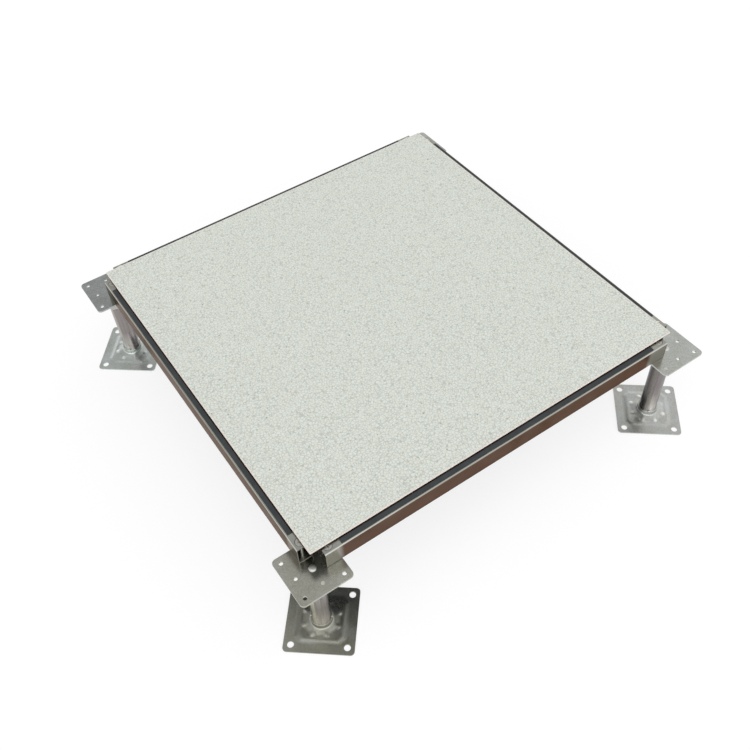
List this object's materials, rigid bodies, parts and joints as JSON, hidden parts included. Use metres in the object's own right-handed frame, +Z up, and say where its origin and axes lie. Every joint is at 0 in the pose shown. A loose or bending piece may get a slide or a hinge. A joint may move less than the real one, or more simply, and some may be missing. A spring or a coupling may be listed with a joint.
{
  "type": "raised access floor panel",
  "caption": "Square anti-static access floor panel resting on gasketed steel stringers, screwed to height-adjustable pedestals with pressed base plates.",
  "frame": {"origin": "on the floor under the middle of the panel", "axes": "+Z up; X and Y along the panel's edges, with the picture's nearest corner at -X -Y"},
  "size_m": [0.7292, 0.7292, 0.178],
  "materials": {
    "laminate": "satin",
    "coated_sheet": "satin",
    "galvanised_steel": "satin",
    "gasket_rubber": "matte",
    "screw_steel": "satin",
    "plated_head": "satin",
    "plated_stud": "gloss",
    "plated_nut": "gloss",
    "plated_tube": "gloss",
    "plated_base": "gloss"
  },
  "bodies": {
    "frame": {"panel_laminate": "laminate", "panel_top_sheet": "coated_sheet", "panel_bottom_pan": "coated_sheet", "stringer_front": "galvanised_steel", "stringer_right": "galvanised_steel", "stringer_back": "galvanised_steel", "stringer_left": "galvanised_steel", "stringer_gasket_front": "gasket_rubber", "stringer_gasket_right": "gasket_rubber", "stringer_gasket_back": "gasket_rubber", "stringer_gasket_left": "gasket_rubber", "stringer_screws": "screw_steel", "head_plate_front_left": "plated_head", "head_plate_front_right": "plated_head", "head_plate_back_right": "plated_head", "head_plate_back_left": "plated_head", "stud_front_left": "plated_stud", "stud_front_right": "plated_stud", "stud_back_right": "plated_stud", "stud_back_left": "plated_stud"},
    "nut_front_left": {"levelling_nut_front_left": "plated_nut"},
    "leg_front_left": {"pedestal_tube_front_left": "plated_tube", "base_plate_front_left": "plated_base"},
    "nut_front_right": {"levelling_nut_front_right": "plated_nut"},
    "leg_front_right": {"pedestal_tube_front_right": "plated_tube", "base_plate_front_right": "plated_base"},
    "nut_back_right": {"levelling_nut_back_right": "plated_nut"},
    "leg_back_right": {"pedestal_tube_back_right": "plated_tube", "base_plate_back_right": "plated_base"},
    "nut_back_left": {"levelling_nut_back_left": "plated_nut"},
    "leg_back_left": {"pedestal_tube_back_left": "plated_tube", "base_plate_back_left": "plated_base"}
  },
  "joints": [
    {"name": "front_left_height", "type": "slide", "parent": "frame", "child": "nut_front_left", "axis": [0, 0, 1], "range_m": [-0.025, 0.016]},
    {"name": "front_left_swivel", "type": "hinge", "parent": "nut_front_left", "child": "leg_front_left", "pos_m": [-0.3, -0.3, 0.108], "axis": [0, 0, 1], "continuous": true},
    {"name": "front_right_height", "type": "slide", "parent": "frame", "child": "nut_front_right", "axis": [0, 0, 1], "range_m": [-0.025, 0.016]},
    {"name": "front_right_swivel", "type": "hinge", "parent": "nut_front_right", "child": "leg_front_right", "pos_m": [0.3, -0.3, 0.108], "axis": [0, 0, 1], "continuous": true},
    {"name": "back_right_height", "type": "slide", "parent": "frame", "child": "nut_back_right", "axis": [0, 0, 1], "range_m": [-0.025, 0.016]},
    {"name": "back_right_swivel", "type": "hinge", "parent": "nut_back_right", "child": "leg_back_right", "pos_m": [0.3, 0.3, 0.108], "axis": [0, 0, 1], "continuous": true},
    {"name": "back_left_height", "type": "slide", "parent": "frame", "child": "nut_back_left", "axis": [0, 0, 1], "range_m": [-0.025, 0.016]},
    {"name": "back_left_swivel", "type": "hinge", "parent": "nut_back_left", "child": "leg_back_left", "pos_m": [-0.3, 0.3, 0.108], "axis": [0, 0, 1], "continuous": true}
  ]
}
